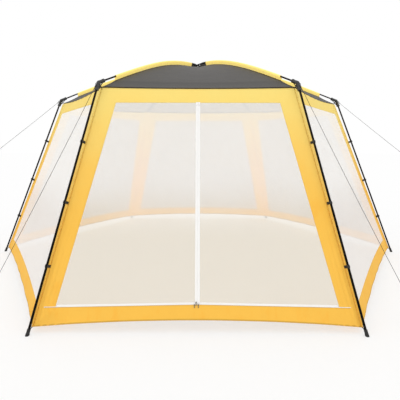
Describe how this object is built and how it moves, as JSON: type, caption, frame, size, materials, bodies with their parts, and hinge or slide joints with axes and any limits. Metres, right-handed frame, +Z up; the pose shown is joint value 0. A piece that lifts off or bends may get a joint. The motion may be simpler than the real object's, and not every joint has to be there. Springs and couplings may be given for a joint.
{
  "type": "screen tent",
  "caption": "Hexagonal screen tent on bowed roof poles with splayed outside legs, net walls in cloth borders, a zipped net door and guy ropes.",
  "frame": {"origin": "on the ground under the middle of the roof, where the poles cross", "axes": "+X to the right of someone facing the door wall, +Y from the door wall to the back wall, +Z up"},
  "size_m": [7.1928, 4.3598, 2.4327],
  "materials": {
    "black_steel": "satin black powder coat",
    "black_plastic": "moulded, fine grain",
    "black_rubber": "matt",
    "yellow_cloth": "plain woven polyester, thin enough to let light through",
    "grey_cloth": "plain woven polyester",
    "white_net": "fine insect net",
    "zip_tape": "woven tape with moulded teeth",
    "zip_metal": "dark enamel",
    "rope": "braided cord",
    "peg_steel": "zinc plated"
  },
  "bodies": {
    "tent": {"roof_pole_side": "black_steel", "roof_pole_left_diagonal": "black_steel", "roof_pole_right_diagonal": "black_steel", "elbow_right": "black_plastic", "leg_right": "black_steel", "foot_right": "black_rubber", "sleeve_right": "yellow_cloth", "guy_rope_right": "rope", "peg_right": "peg_steel", "elbow_back_right": "black_plastic", "leg_back_right": "black_steel", "foot_back_right": "black_rubber", "sleeve_back_right": "yellow_cloth", "guy_rope_back_right": "rope", "peg_back_right": "peg_steel", "elbow_back_left": "black_plastic", "leg_back_left": "black_steel", "foot_back_left": "black_rubber", "sleeve_back_left": "yellow_cloth", "guy_rope_back_left": "rope", "peg_back_left": "peg_steel", "elbow_left": "black_plastic", "leg_left": "black_steel", "foot_left": "black_rubber", "sleeve_left": "yellow_cloth", "guy_rope_left": "rope", "peg_left": "peg_steel", "elbow_front_left": "black_plastic", "leg_front_left": "black_steel", "foot_front_left": "black_rubber", "sleeve_front_left": "yellow_cloth", "guy_rope_front_left": "rope", "peg_front_left": "peg_steel", "elbow_front_right": "black_plastic", "leg_front_right": "black_steel", "foot_front_right": "black_rubber", "sleeve_front_right": "yellow_cloth", "guy_rope_front_right": "rope", "peg_front_right": "peg_steel", "canopy": "grey_cloth", "wall_border_front": "yellow_cloth", "wall_border_front_right": "yellow_cloth", "net_front_right": "white_net", "wall_border_back_right": "yellow_cloth", "net_back_right": "white_net", "wall_border_back": "yellow_cloth", "net_back": "white_net", "wall_border_back_left": "yellow_cloth", "net_back_left": "white_net", "wall_border_front_left": "yellow_cloth", "net_front_left": "white_net", "door_side_net_left": "white_net", "door_side_net_right": "white_net"},
    "door_left": {"door_flap_left": "white_net", "zip_tape_left": "zip_tape"},
    "door_right": {"door_flap_right": "white_net", "zip_tape_right": "zip_tape"},
    "door_slider": {"zip_slider_door": "zip_metal"},
    "foot_slider_left": {"zip_slider_left": "zip_metal"},
    "foot_slider_right": {"zip_slider_right": "zip_metal"}
  },
  "joints": [
    {"name": "door_flap_left_fold", "type": "hinge", "parent": "tent", "child": "door_left", "pos_m": [0, -1.5608, 1.77409], "axis": [-0.5388, -0.2626, -0.8005], "range_deg": [0, 150]},
    {"name": "door_flap_right_fold", "type": "hinge", "parent": "tent", "child": "door_right", "pos_m": [0, -1.5608, 1.77409], "axis": [-0.5388, 0.2626, 0.8005], "range_deg": [0, 150]},
    {"name": "door_zip_slide", "type": "slide", "parent": "door_left", "child": "door_slider", "axis": [0, 0.3118, 0.9502], "range_m": [0, 1.602]},
    {"name": "foot_zip_left_slide", "type": "slide", "parent": "tent", "child": "foot_slider_left", "axis": [-0.9998, -0.0058, -0.0177], "range_m": [0, 1.042]},
    {"name": "foot_zip_right_slide", "type": "slide", "parent": "tent", "child": "foot_slider_right", "axis": [0.9998, -0.0058, -0.0177], "range_m": [0, 1.056]}
  ]
}
